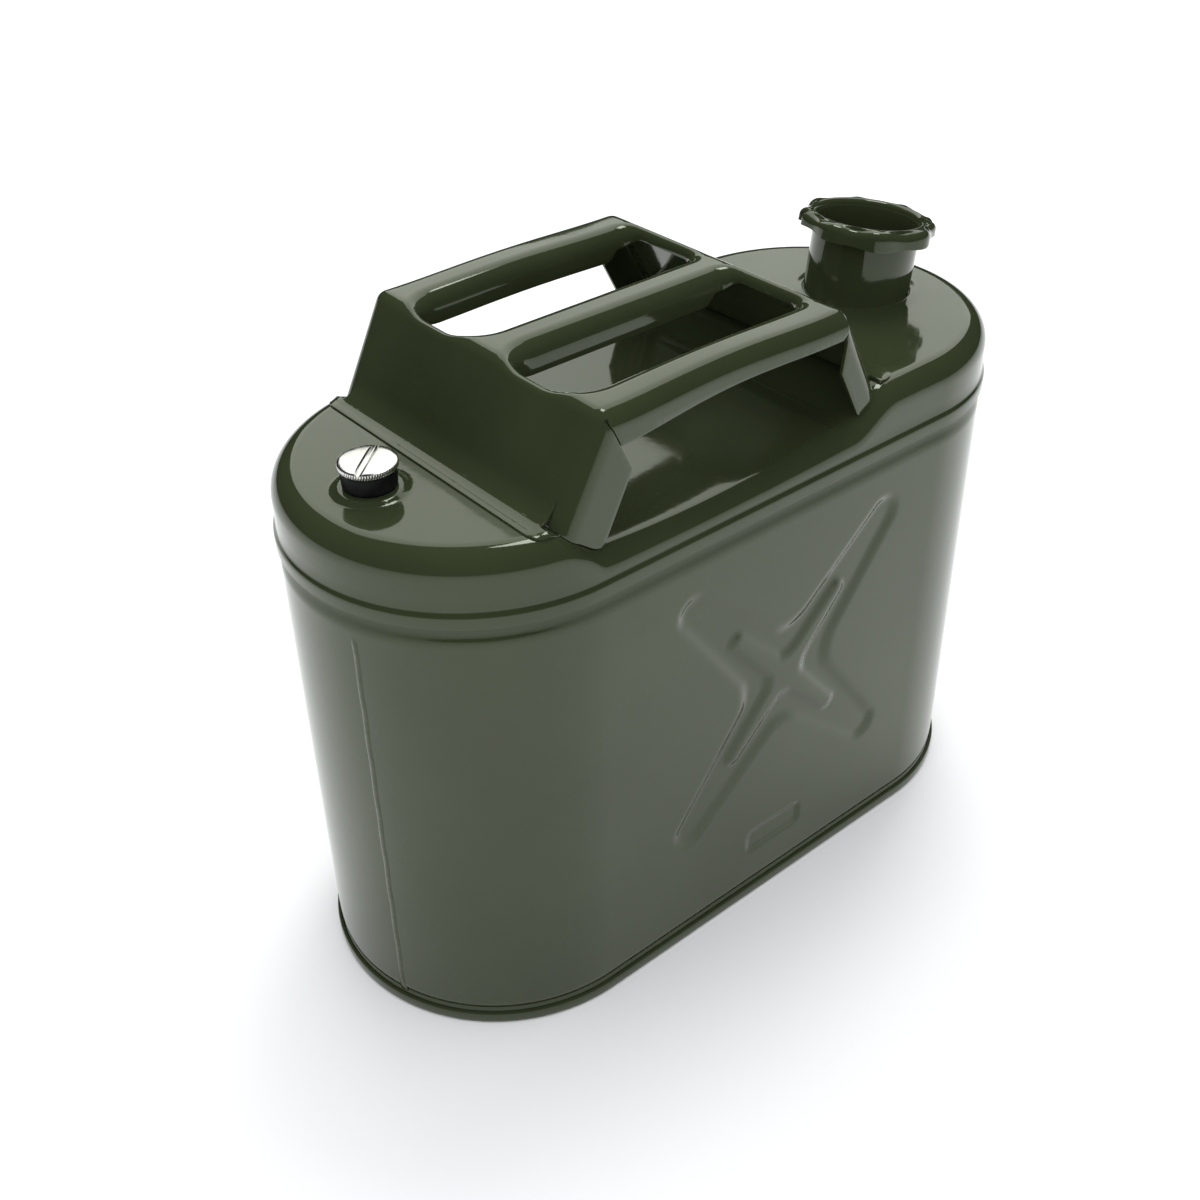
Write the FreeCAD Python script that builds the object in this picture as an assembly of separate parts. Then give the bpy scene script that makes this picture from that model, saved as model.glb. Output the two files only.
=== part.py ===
"""Five-litre sheet-steel jerry can with an open filler neck and a vent screw.

Frame: millimetres, +X along the can towards the filler neck, +Y across its
width, +Z up.  The origin is the middle of the base, on the floor.
"""
import FreeCAD, Part
import os
import math

# ---- body and base ---------------------------------------------------------
HALF_STRAIGHT = 73.0        # half the straight length of the obround plan
SHEET = 0.8                 # body, lid and base sheet
BODY_R = 60.3               # outside radius of the body wall
BODY_NECK_R = 59.0          # drawn-in top of the body, inside the lid skirt
SHOULDER_LOW = 157.5
SHOULDER_HIGH = 162.5
BODY_TOP = 169.5
BODY_FOOT = 1.3             # lower edge of the body sheet, inside the seam
SEAM_R = 61.5               # rolled base rim
SEAM_H = 4.2
PAN_FLOOR = 4.6             # underside of the recessed base
WELD_ANGLE = 198.0          # side weld, measured from +X about its end centre
WELD_HALF_WIDTH = 1.3
WELD_PROUD = 0.35

# ---- lid -------------------------------------------------------------------
LID_R = 60.0
LID_BAND_R = 61.0           # joggled edge that laps over the body
LID_EDGE = 164.5
LID_BAND_TOP = 168.6
LID_TOP = 187.2             # plateaus at both ends
DECK_TOP = 178.2            # lowered middle, under the handle
DECK_LEFT = (-84.0, -67.0)  # where the vent-side step starts and ends
DECK_RIGHT = (35.0, 50.0)   # where the spout-side step starts and ends
LID_FILLET = 8.0

# ---- vent ------------------------------------------------------------------
VENT_X = -108.5
BOSS_R = 11.5
BOSS_H = 1.2
VENT_HOLE_R = 4.4
BUSH_R = 8.0
BUSH_DEPTH = 7.0
SCREW_R = 3.0
THREAD_CLEARANCE = 0.05
SHANK_BOTTOM = 178.0
PART_GAP = 0.32             # working gap between the seal and its neighbours
WASHER_R = 8.2
WASHER_BORE_R = 3.4
WASHER_H = 5.4
HEAD_R = 8.85
HEAD_RIM = 1.8
HEAD_DOME = 0.6
SLOT_W = 2.0
SLOT_D = 1.2
SLOT_TURN = -50.0          # resting direction of the coin slot

# ---- filler neck -----------------------------------------------------------
NECK_X = 95.5              # middle of the neck where it meets the lid
NECK_LEAN = 8.0            # degrees, towards the spout end
NECK_R = 18.5
NECK_HOLE_R = 18.8         # punched straight down through the lid, clear of the leaning tube
NECK_BORE_R = 17.5
NECK_BOTTOM = 184.5
NECK_TOP = 214.0
COLLAR_R = 23.9
COLLAR_DEPTH = 6.5
COLLAR_SHEET = 1.2
NOTCH_ANGLE = -39.0
FILLET_R = 20.4
FILLET_H = 1.4

# ---- handle ----------------------------------------------------------------
PLATE = 1.2
HANDLE_TOP = 218.5
TOP_X = (-67.1, 27.4)
FOOT_X = (-83.3, 43.9)
HALF_W = 56.2
CORNER_R = 6.0
FLANGE_LEFT = -91.0
FLANGE_RIGHT = 55.0
FLANGE_HALF_W = 54.0
BAR_X = (-59.0, 19.0)
OUTER_BAR = (39.2, 56.2)
MIDDLE_BAR = (-8.4, 8.4)
BAR_ROUND = 6.0
OUTER_LIP = 208.4
INNER_LIP = 207.5
WING_LEFT = (-58.5, 198.3)  # tip of the vent-side side wing
WING_RIGHT = (25.3, 198.2)  # tip of the spout-side side wing
SLIT_X = (-63.3, 26.7)      # slits between wings and lips, at lip level
SLIT_W = 0.6
SLIT_DEPTH = 3.0
WELD_NUGGET_R = 2.2
WELD_NUGGET_H = 0.35

BIG = 300.0


def vec(x, y, z):
    return FreeCAD.Vector(x, y, z)


def obround_wire(radius, z):
    """Closed outline of two half circles joined by straight sides."""
    a = HALF_STRAIGHT
    low_left = vec(-a, -radius, z)
    low_right = vec(a, -radius, z)
    high_right = vec(a, radius, z)
    high_left = vec(-a, radius, z)
    right_arc = Part.Arc(low_right, vec(a + radius, 0, z), high_right).toShape()
    left_arc = Part.Arc(high_left, vec(-a - radius, 0, z), low_left).toShape()
    bottom = Part.makeLine(low_left, low_right)
    top = Part.makeLine(high_right, high_left)
    return Part.Wire([bottom, right_arc, top, left_arc])


def obround(radius, z0, z1):
    return Part.Face(obround_wire(radius, z0)).extrude(vec(0, 0, z1 - z0))


def obround_ring(outer, inner, z0, z1):
    return obround(outer, z0, z1).cut(obround(inner, z0 - 1, z1 + 1))


def obround_taper(r0, z0, r1, z1):
    return Part.makeLoft([obround_wire(r0, z0), obround_wire(r1, z1)], True, True)


def disc(x, radius, z0, z1):
    return Part.makeCylinder(radius, z1 - z0, vec(x, 0, z0))


def ring(x, outer, inner, z0, z1):
    return disc(x, outer, z0, z1).cut(disc(x, inner, z0 - 1, z1 + 1))


def xz_prism(points, y0, y1):
    """Prism along Y of a closed outline given as (x, z) pairs."""
    corners = [vec(x, y0, z) for x, z in points]
    return Part.Face(Part.makePolygon(corners + corners[:1])).extrude(vec(0, y1 - y0, 0))


def single(shape):
    return shape.removeSplitter().Solids[0]


def leaned(shape):
    """Tilts a neck piece about the neck's foot towards the spout end."""
    shape.rotate(vec(NECK_X, 0, LID_TOP), vec(0, 1, 0), NECK_LEAN)
    return shape


# ---- body shell ------------------------------------------------------------
def body_blank(offset):
    lower = obround(BODY_R - offset, BODY_FOOT, SHOULDER_LOW)
    shoulder = obround_taper(BODY_R - offset, SHOULDER_LOW, BODY_NECK_R - offset, SHOULDER_HIGH)
    top = obround(BODY_NECK_R - offset, SHOULDER_HIGH, BODY_TOP)
    return lower.fuse(shoulder).fuse(top)


def body_shell():
    return single(body_blank(0.0).cut(body_blank(SHEET)))


def side_weld():
    """Bead standing a little proud of the wall where the sheet meets."""
    strip = obround_ring(BODY_R + WELD_PROUD, BODY_R, SEAM_H + 1.0, SHOULDER_LOW - 0.5)
    window = Part.makeBox(20.0, 2 * WELD_HALF_WIDTH, BIG, vec(BODY_R - 10.0, -WELD_HALF_WIDTH, 0))
    window.rotate(vec(0, 0, 0), vec(0, 0, 1), WELD_ANGLE)
    window.translate(vec(-HALF_STRAIGHT, 0, 0))
    return strip.common(window).Solids[0]


# ---- base ------------------------------------------------------------------
PAN_R = BODY_R - SHEET - 0.5


def bottom_pan():
    """Recessed base whose edge is curled out and up around the body wall."""
    outer_wall = obround_ring(SEAM_R, SEAM_R - SHEET, 0, SEAM_H)
    web = obround_ring(SEAM_R, PAN_R - SHEET, 0, SHEET)
    inner_wall = obround_ring(PAN_R, PAN_R - SHEET, 0, PAN_FLOOR + SHEET)
    floor = obround(PAN_R, PAN_FLOOR, PAN_FLOOR + SHEET)
    return single(outer_wall.fuse([web, inner_wall, floor]))


def bottom_sealant():
    """Compound that fills the rolled seam inside and under the body edge."""
    inner = obround_ring(BODY_R - SHEET, PAN_R, SHEET, SEAM_H)
    under = obround_ring(SEAM_R - SHEET, BODY_R - SHEET, SHEET, BODY_FOOT)
    return single(inner.fuse(under))


# ---- lid -------------------------------------------------------------------
def step_arcs(x0, z0, x1, z1):
    """Two tangent arcs that join one level to another with no kink."""
    run = 0.5 * (x1 - x0)
    rise = 0.5 * (z1 - z0)
    radius = (run ** 2 + rise ** 2) / (2 * abs(rise))
    half = 0.5 * math.asin(run / radius)
    across = radius * math.sin(half)
    along = math.copysign(radius - radius * math.cos(half), rise)
    start = vec(x0, 0, z0)
    middle = vec(x0 + run, 0, z0 + rise)
    end = vec(x1, 0, z1)
    first = Part.Arc(start, vec(x0 + across, 0, z0 + along), middle).toShape()
    second = Part.Arc(middle, vec(x1 - across, 0, z1 - along), end).toShape()
    return [first, second]


def lid_top_slab(drop):
    """Slab whose upper face follows plateau, lowered deck and plateau."""
    edges = [Part.makeLine(vec(-BIG, 0, LID_TOP), vec(DECK_LEFT[0], 0, LID_TOP))]
    edges += step_arcs(DECK_LEFT[0], LID_TOP, DECK_LEFT[1], DECK_TOP)
    edges.append(Part.makeLine(vec(DECK_LEFT[1], 0, DECK_TOP), vec(DECK_RIGHT[0], 0, DECK_TOP)))
    edges += step_arcs(DECK_RIGHT[0], DECK_TOP, DECK_RIGHT[1], LID_TOP)
    edges.append(Part.makeLine(vec(DECK_RIGHT[1], 0, LID_TOP), vec(BIG, 0, LID_TOP)))
    edges.append(Part.makeLine(vec(BIG, 0, LID_TOP), vec(BIG, 0, 0)))
    edges.append(Part.makeLine(vec(BIG, 0, 0), vec(-BIG, 0, 0)))
    edges.append(Part.makeLine(vec(-BIG, 0, 0), vec(-BIG, 0, LID_TOP)))
    slab = Part.Face(Part.Wire(edges)).extrude(vec(0, 200, 0))
    slab.translate(vec(0, -100, -drop))
    return slab


def lid_blank(offset, z_low):
    """Solid cap of the lid, inset by offset, with its rounded edge."""
    cap = obround(LID_R - offset, z_low, BIG).common(lid_top_slab(offset)).Solids[0]
    rim = []
    for edge in cap.Edges:
        box = edge.BoundBox
        on_wall = abs(box.YMin) > 1 or abs(box.YMax) > 1
        crosswise = box.YLength > 100 and box.XLength < 0.01
        upright = box.ZLength > 1 and box.XLength < 0.01
        if box.ZMax > z_low + 1 and on_wall and not crosswise and not upright:
            rim.append(edge)
    return cap.makeFillet(LID_FILLET - offset, rim)


def lid():
    outer = lid_blank(0.0, LID_EDGE)
    band = obround(LID_BAND_R, LID_EDGE, LID_BAND_TOP)
    boss = disc(VENT_X, BOSS_R, LID_TOP - 2, LID_TOP + BOSS_H)
    inner = lid_blank(SHEET, LID_EDGE - 1)
    inner_band = obround(LID_BAND_R - SHEET, LID_EDGE - 1, LID_BAND_TOP - SHEET)
    inner_boss = disc(VENT_X, BOSS_R - SHEET, LID_TOP - 3, LID_TOP + BOSS_H - SHEET)
    shape = outer.fuse([band, boss]).cut(inner).cut(inner_band).cut(inner_boss)
    shape = shape.cut(disc(VENT_X, VENT_HOLE_R, LID_TOP - 5, LID_TOP + 5))
    shape = shape.cut(disc(NECK_X, NECK_HOLE_R, LID_TOP - 6, LID_TOP + 6))
    return single(shape)


def lap_filler():
    """Brazed filler between the lid's lapped edge and the drawn-in body."""
    return single(obround_ring(LID_BAND_R - SHEET, BODY_NECK_R, LID_EDGE + 0.5, LID_BAND_TOP - 1.2))


# ---- handle ----------------------------------------------------------------
def handle_block(offset):
    """Sloped block with rounded corners, inset by the plate thickness."""
    slope_left = math.hypot(TOP_X[0] - FOOT_X[0], HANDLE_TOP - LID_TOP) / (HANDLE_TOP - LID_TOP)
    slope_right = math.hypot(FOOT_X[1] - TOP_X[1], HANDLE_TOP - LID_TOP) / (HANDLE_TOP - LID_TOP)
    left_run = (TOP_X[0] - FOOT_X[0]) / (HANDLE_TOP - LID_TOP)
    right_run = (FOOT_X[1] - TOP_X[1]) / (HANDLE_TOP - LID_TOP)
    top = HANDLE_TOP - offset
    foot = DECK_TOP - 20
    left_top = TOP_X[0] + offset * slope_left - offset * left_run
    right_top = TOP_X[1] - offset * slope_right + offset * right_run
    drop = top - foot
    outline = [
        (left_top - drop * left_run, foot),
        (left_top, top),
        (right_top, top),
        (right_top + drop * right_run, foot),
    ]
    block = xz_prism(outline, -HALF_W + offset, HALF_W - offset)
    edges = [e for e in block.Edges if e.BoundBox.ZMax > foot + 1]
    return block.makeFillet(CORNER_R - offset, edges)


def side_window():
    """Opening through both sides, between the end wings and under the bars."""
    left_run = (TOP_X[0] - FOOT_X[0]) / (HANDLE_TOP - LID_TOP)
    right_run = (FOOT_X[1] - TOP_X[1]) / (HANDLE_TOP - LID_TOP)
    low = DECK_TOP - 30
    outline = [
        WING_LEFT,
        (SLIT_X[0], OUTER_LIP),
        (SLIT_X[1], OUTER_LIP),
        WING_RIGHT,
        (WING_RIGHT[0] + (WING_RIGHT[1] - low) * right_run, low),
        (WING_LEFT[0] - (WING_LEFT[1] - low) * left_run, low),
    ]
    near = xz_prism(outline, -HALF_W - 1, -HALF_W + CORNER_R)
    far = xz_prism(outline, HALF_W - CORNER_R, HALF_W + 1)
    return near.fuse(far)


def side_slits():
    """Narrow slits that part the end wings from the turned-down bar lips."""
    half = 0.5 * SLIT_W
    cuts = []
    for top_x, low_x in zip(TOP_X, SLIT_X):
        outline = [
            (top_x - half, HANDLE_TOP + 1),
            (top_x + half, HANDLE_TOP + 1),
            (low_x + half, OUTER_LIP - 1),
            (low_x - half, OUTER_LIP - 1),
        ]
        cuts.append(xz_prism(outline, -HALF_W - 1, -HALF_W + SLIT_DEPTH))
        cuts.append(xz_prism(outline, HALF_W - SLIT_DEPTH, HALF_W + 1))
    return cuts


def bar(y0, y1, lip0, lip1, x0, x1):
    """Bar with a rounded top and two turned-down lips."""
    low = min(lip0, lip1) - 10

    def blank(offset, bottom):
        length = x1 - x0
        box = Part.makeBox(length, y1 - y0 - 2 * offset, HANDLE_TOP - offset - bottom,
                           vec(x0, y0 + offset, bottom))
        edges = []
        for edge in box.Edges:
            bound = edge.BoundBox
            if bound.XLength > length - 1 and bound.ZMin > HANDLE_TOP - offset - 0.01:
                edges.append(edge)
        return box.makeFillet(BAR_ROUND - offset, edges)

    channel = blank(0.0, low).cut(blank(PLATE, low - 1))
    middle = 0.5 * (y0 + y1)
    under_low_y = Part.makeBox(BIG, BIG, BIG, vec(-BIG / 2, middle - BIG, lip0 - BIG))
    under_high_y = Part.makeBox(BIG, BIG, BIG, vec(-BIG / 2, middle, lip1 - BIG))
    return channel.cut(under_low_y).cut(under_high_y)


def slot_ends():
    """Rounded ends of the two finger slots, cut into the end plates."""
    radius = 0.5 * (OUTER_BAR[0] - MIDDLE_BAR[1])
    reach = 6.0
    cuts = []
    for side in (-1, 1):
        centre = side * 0.5 * (OUTER_BAR[0] + MIDDLE_BAR[1])
        for x_mid, toward in ((BAR_X[0], -1), (BAR_X[1], 1)):
            box = Part.makeBox(reach + 2.0, 2 * radius, 30.0,
                               vec(min(x_mid + toward * reach, x_mid - toward * 2.0),
                                   centre - radius, HANDLE_TOP - 15))
            upright = []
            for edge in box.Edges:
                bound = edge.BoundBox
                outside = abs(bound.XMin - (x_mid + toward * reach)) < 0.01
                if bound.ZLength > 1 and bound.XLength < 0.01 and outside:
                    upright.append(edge)
            cuts.append(box.makeFillet(reach - 0.5, upright))
    return cuts


def foot_flange(x0, x1):
    """Flat foot with rounded outer corners, resting on the lid plateau."""
    plate = Part.makeBox(x1 - x0, 2 * FLANGE_HALF_W, PLATE, vec(x0, -FLANGE_HALF_W, LID_TOP))
    outer = x0 if abs(x0) > abs(x1) else x1
    upright = []
    for edge in plate.Edges:
        bound = edge.BoundBox
        if bound.ZLength > 0.5 and bound.YLength < 0.01 and abs(bound.XMin - outer) < 0.01:
            upright.append(edge)
    return plate.makeFillet(7.0, upright)


def handle():
    hollow = handle_block(0.0).cut(handle_block(PLATE))
    span = BAR_X[1] - BAR_X[0]
    middle = Part.makeBox(span, BIG, BIG, vec(BAR_X[0], -BIG / 2, HANDLE_TOP - 30))
    shape = hollow.cut(side_window()).cut(middle)
    for cut in slot_ends() + side_slits():
        shape = shape.cut(cut)
    wall_only = lid_blank(0.0, 120.0)
    shape = shape.cut(wall_only)
    below = Part.makeBox(BIG, BIG, 60.0, vec(-BIG / 2, -BIG / 2, DECK_TOP - 62.0))
    shape = shape.cut(below)
    pieces = [
        bar(OUTER_BAR[0], OUTER_BAR[1], INNER_LIP, OUTER_LIP, BAR_X[0], BAR_X[1]),
        bar(-OUTER_BAR[1], -OUTER_BAR[0], OUTER_LIP, INNER_LIP, BAR_X[0], BAR_X[1]),
        bar(MIDDLE_BAR[0], MIDDLE_BAR[1], INNER_LIP, INNER_LIP, BAR_X[0], BAR_X[1]),
        foot_flange(FLANGE_LEFT, FOOT_X[0] + 1.0),
        foot_flange(FOOT_X[1] - 1.0, FLANGE_RIGHT),
    ]
    return single(shape.fuse(pieces))


def handle_welds():
    """Spot-weld nuggets standing slightly proud of the two feet."""
    nuggets = []
    rows = (
        (0.5 * (FLANGE_LEFT + FOOT_X[0]) - 0.6, (-42.0, -14.0, 14.0, 42.0)),
        (0.5 * (FLANGE_RIGHT + FOOT_X[1]) + 0.4, (-40.0, 0.0, 40.0)),
    )
    for x, offsets in rows:
        for y in offsets:
            base = vec(x, y, LID_TOP + PLATE)
            nuggets.append(Part.makeCylinder(WELD_NUGGET_R, WELD_NUGGET_H, base))
    return Part.makeCompound(nuggets)


# ---- filler neck -----------------------------------------------------------
def neck_tube():
    return leaned(single(ring(NECK_X, NECK_R, NECK_BORE_R, NECK_BOTTOM, NECK_TOP)))


def eight_sided(radius, z0, z1):
    """Octagon prism with softened corners, one corner towards the notches."""
    corners = []
    for i in range(9):
        angle = math.radians(NOTCH_ANGLE + 45.0 * i)
        corners.append(vec(NECK_X + radius * math.cos(angle), radius * math.sin(angle), z0))
    prism = Part.Face(Part.makePolygon(corners)).extrude(vec(0, 0, z1 - z0))
    upright = [e for e in prism.Edges if e.BoundBox.ZLength > 1]
    return prism.makeFillet(4.0, upright)


def neck_collar():
    """Down-turned eight-sided flange with two opposite cap notches."""
    low = NECK_TOP - COLLAR_DEPTH
    outer = eight_sided(COLLAR_R + 0.8, low, NECK_TOP)
    top_edges = [e for e in outer.Edges if e.BoundBox.ZMin > NECK_TOP - 0.01]
    outer = outer.makeFillet(1.4, top_edges)
    hollow = eight_sided(COLLAR_R + 0.8 - COLLAR_SHEET, low - 1, NECK_TOP - COLLAR_SHEET)
    shape = outer.cut(hollow).cut(disc(NECK_X, NECK_R, low - 2, NECK_TOP + 2))
    for turn in (0.0, 180.0):
        notch = Part.makeBox(4.0, 3.0, COLLAR_DEPTH + 4, vec(NECK_R + 3.4, -1.5, low - 2))
        notch.rotate(vec(0, 0, 0), vec(0, 0, 1), NOTCH_ANGLE + turn)
        notch.translate(vec(NECK_X, 0, 0))
        shape = shape.cut(notch)
    return leaned(single(shape))


def neck_weld():
    """Weld fillet around the foot of the neck."""
    cone = Part.makeCone(FILLET_R, NECK_R + 0.5, FILLET_H, vec(NECK_X, 0, LID_TOP))
    return single(cone.cut(leaned(disc(NECK_X, NECK_R, LID_TOP - 8, LID_TOP + FILLET_H + 8))))


# ---- vent ------------------------------------------------------------------
def vent_bush():
    """Threaded bush under the lid with a spigot up through the vent hole."""
    under_lid = LID_TOP + BOSS_H - SHEET
    body = disc(VENT_X, BUSH_R, under_lid - BUSH_DEPTH, under_lid)
    spigot = disc(VENT_X, VENT_HOLE_R, under_lid, LID_TOP + BOSS_H - 0.1)
    bore = disc(VENT_X, SCREW_R + THREAD_CLEARANCE, under_lid - BUSH_DEPTH - 1, LID_TOP + 5)
    return single(body.fuse(spigot).cut(bore))


WASHER_LOW = LID_TOP + BOSS_H + PART_GAP
WASHER_HIGH = WASHER_LOW + WASHER_H
HEAD_LOW = WASHER_HIGH + PART_GAP


def vent_washer():
    return single(ring(VENT_X, WASHER_R, WASHER_BORE_R, WASHER_LOW, WASHER_HIGH))


def vent_screw():
    shank = disc(VENT_X, SCREW_R, SHANK_BOTTOM, HEAD_LOW + 0.5)
    rim = disc(VENT_X, HEAD_R, HEAD_LOW, HEAD_LOW + HEAD_RIM)
    dome_radius = (HEAD_R ** 2 + HEAD_DOME ** 2) / (2 * HEAD_DOME)
    ball = Part.makeSphere(dome_radius, vec(VENT_X, 0, HEAD_LOW + HEAD_RIM + HEAD_DOME - dome_radius))
    dome = ball.common(disc(VENT_X, HEAD_R, HEAD_LOW + 0.2, HEAD_LOW + HEAD_RIM + 2))
    top = HEAD_LOW + HEAD_RIM + HEAD_DOME
    slot = Part.makeBox(SLOT_W, 3 * HEAD_R, 3.0, vec(-SLOT_W / 2, -1.5 * HEAD_R, 0))
    slot.rotate(vec(0, 0, 0), vec(0, 0, 1), SLOT_TURN)
    slot.translate(vec(VENT_X, 0, top - SLOT_D))
    return single(rim.fuse([shank, dome]).cut(slot))


os.makedirs("parts", exist_ok=True)
NODES = {
    "body_shell": body_shell,
    "side_weld": side_weld,
    "bottom_pan": bottom_pan,
    "bottom_sealant": bottom_sealant,
    "lid": lid,
    "lap_filler": lap_filler,
    "handle": handle,
    "handle_welds": handle_welds,
    "neck_tube": neck_tube,
    "neck_collar": neck_collar,
    "neck_weld": neck_weld,
    "vent_bush": vent_bush,
    "vent_washer": vent_washer,
    "vent_screw": vent_screw,
}
for name, build in NODES.items():
    shape = build()
    shape.exportStep("parts/" + name + ".step")
    bound = shape.BoundBox
    print(name, shape.isValid(), len(shape.Solids), round(shape.Volume, 1),
          [round(v, 1) for v in (bound.XMin, bound.XMax, bound.YMin, bound.YMax, bound.ZMin, bound.ZMax)])
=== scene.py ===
import math

import bmesh
import bpy
import numpy as np
from mathutils import Matrix, Vector
from mathutils.geometry import delaunay_2d_cdt


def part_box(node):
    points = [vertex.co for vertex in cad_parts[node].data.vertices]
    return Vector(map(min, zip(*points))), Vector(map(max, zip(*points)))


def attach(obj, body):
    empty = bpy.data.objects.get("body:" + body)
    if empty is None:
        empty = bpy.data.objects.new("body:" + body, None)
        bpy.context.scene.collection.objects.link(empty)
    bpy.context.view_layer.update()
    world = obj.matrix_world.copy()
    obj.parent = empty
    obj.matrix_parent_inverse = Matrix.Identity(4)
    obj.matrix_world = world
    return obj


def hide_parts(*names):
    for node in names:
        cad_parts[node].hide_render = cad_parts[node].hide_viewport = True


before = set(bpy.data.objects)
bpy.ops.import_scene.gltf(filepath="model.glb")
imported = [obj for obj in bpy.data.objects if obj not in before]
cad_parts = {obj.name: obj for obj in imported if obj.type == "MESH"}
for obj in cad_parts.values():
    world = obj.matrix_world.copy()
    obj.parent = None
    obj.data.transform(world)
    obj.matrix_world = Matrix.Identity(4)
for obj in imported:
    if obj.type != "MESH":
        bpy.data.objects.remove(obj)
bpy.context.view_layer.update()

# The can's lengths are millimetres in the part's own frame, and make() turns them
# into metres. The studio at the end is in metres.
MM = 0.001
HALF = 73.0                 # half the straight length of the obround plan
LID_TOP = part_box("neck_weld")[0].z / MM
DECK_TOP = LID_TOP - 9.0    # lowered middle of the lid, under the handle
NECK_X = 95.5               # middle of the neck where it meets the lid
NECK_TOP = 214.0
NECK_LEAN = math.radians(8.0)
VENT_X = 0.5 * (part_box("vent_washer")[0].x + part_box("vent_washer")[1].x) / MM
WASHER_Z = (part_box("vent_washer")[0].z / MM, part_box("vent_washer")[1].z / MM)
HANDLE_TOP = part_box("handle")[1].z / MM
HANDLE_X = (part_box("handle")[0].x / MM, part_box("handle")[1].x / MM)
PLATE = 1.2                 # handle plate
SHEET = 0.8                 # body and lid sheet


# ---------------------------------------------------------------- mesh helpers
def put(name, data):
    """New object for a mesh, lamp or camera, linked into the scene."""
    obj = bpy.data.objects.new(name, data)
    bpy.context.scene.collection.objects.link(obj)
    return obj


def make(name, verts, faces, body="can"):
    """New smooth mesh object from millimetre points, riding on a CAD body."""
    mesh = bpy.data.meshes.new(name)
    mesh.from_pydata([(x * MM, y * MM, z * MM) for x, y, z in verts], [], faces)
    mesh.validate()
    obj = put(name, mesh)
    weld = bmesh.new()
    weld.from_mesh(mesh)
    bmesh.ops.remove_doubles(weld, verts=weld.verts, dist=2e-6)
    bmesh.ops.recalc_face_normals(weld, faces=weld.faces)
    weld.to_mesh(mesh)
    weld.free()
    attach(obj, body)
    return obj


def flip_if(obj, point, outward):
    """Turns the mesh over unless the face nearest point looks along outward."""
    target = Vector(point) * MM
    face = min(obj.data.polygons, key=lambda f: (f.center - target).length)
    if face.normal.dot(Vector(outward)) < 0:
        obj.data.flip_normals()


def bake(obj, sharp=38.0):
    """Applies the modifiers, then smooths everything but the real creases."""
    graph = bpy.context.evaluated_depsgraph_get()
    mesh = bpy.data.meshes.new_from_object(obj.evaluated_get(graph))
    obj.modifiers.clear()
    obj.data = mesh
    work = bmesh.new()
    work.from_mesh(mesh)
    limit = math.radians(sharp)
    for face in work.faces:
        face.smooth = True
    for edge in work.edges:
        edge.smooth = edge.is_boundary or edge.calc_face_angle(0.0) < limit
    work.to_mesh(mesh)
    work.free()
    return obj


def thicken(obj, amount):
    """Gives an open skin its sheet thickness, inwards from the outer face."""
    mod = obj.modifiers.new("sheet", "SOLIDIFY")
    mod.thickness = amount * MM
    mod.offset = -1.0
    mod.use_even_offset = True
    mod.use_rim = True


def soften(obj, width, segments, angle):
    """Small bevel on every edge sharper than angle."""
    mod = obj.modifiers.new("edge", "BEVEL")
    mod.width = width * MM
    mod.segments = segments
    mod.limit_method = "ANGLE"
    mod.angle_limit = math.radians(angle)
    mod.harden_normals = False


def carve(obj, cutter):
    """Cuts a helper object out of obj straight away and removes the helper."""
    mod = obj.modifiers.new("cut", "BOOLEAN")
    mod.object = cutter
    mod.operation = "DIFFERENCE"
    mod.solver = "EXACT"
    bpy.context.view_layer.update()
    graph = bpy.context.evaluated_depsgraph_get()
    mesh = bpy.data.meshes.new_from_object(obj.evaluated_get(graph))
    obj.modifiers.clear()
    obj.data = mesh
    bpy.data.objects.remove(cutter)


def rod(radius, length, place, sides):
    """Closed helper cylinder along the local Z of place, used only as a cutter."""
    mesh = bpy.data.meshes.new("cutter")
    work = bmesh.new()
    bmesh.ops.create_cone(work, cap_ends=True, segments=sides, radius1=radius * MM,
                          radius2=radius * MM, depth=length * MM, matrix=place)
    work.to_mesh(mesh)
    work.free()
    return put("cutter", mesh)


def lid_plug(x, radius, sides):
    """Upright cutter through the lid, on the can's middle plane."""
    return rod(radius, 16.0, Matrix.Translation(Vector((x, 0, LID_TOP)) * MM), sides)


def ease(t):
    """Smooth step from 0 to 1 with level ends."""
    t = np.clip(t, 0.0, 1.0)
    return t * t * t * (t * (6 * t - 15) + 10)


def grid_faces(rows, cols, closed):
    """Quads over a grid of points, run round to the first column when closed."""
    faces = []
    for i in range(rows - 1):
        for j in range(cols if closed else cols - 1):
            k = (j + 1) % cols
            faces.append((i * cols + j, i * cols + k, (i + 1) * cols + k, (i + 1) * cols + j))
    return faces


def stations(straight, arc):
    """Points round the obround: middle-line x and the outward direction."""
    found = []
    for i in range(straight):
        found.append((-HALF + 2 * HALF * i / straight, 0.0, -1.0))
    for i in range(arc):
        a = -math.pi / 2 + math.pi * i / arc
        found.append((HALF, math.cos(a), math.sin(a)))
    for i in range(straight):
        found.append((HALF - 2 * HALF * i / straight, 0.0, 1.0))
    for i in range(arc):
        a = math.pi / 2 + math.pi * i / arc
        found.append((-HALF, math.cos(a), math.sin(a)))
    return found


def obround_sweep(name, profile, straight=60, arc=72, closed=False):
    """Sweeps (distance from the middle line, z) points round the obround."""
    around = stations(straight, arc)
    rows = list(profile) + ([profile[0]] if closed else [])
    verts = [(cx + nx * r, ny * r, z) for r, z in rows for cx, nx, ny in around]
    return make(name, verts, grid_faces(len(rows), len(around), True))


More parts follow.
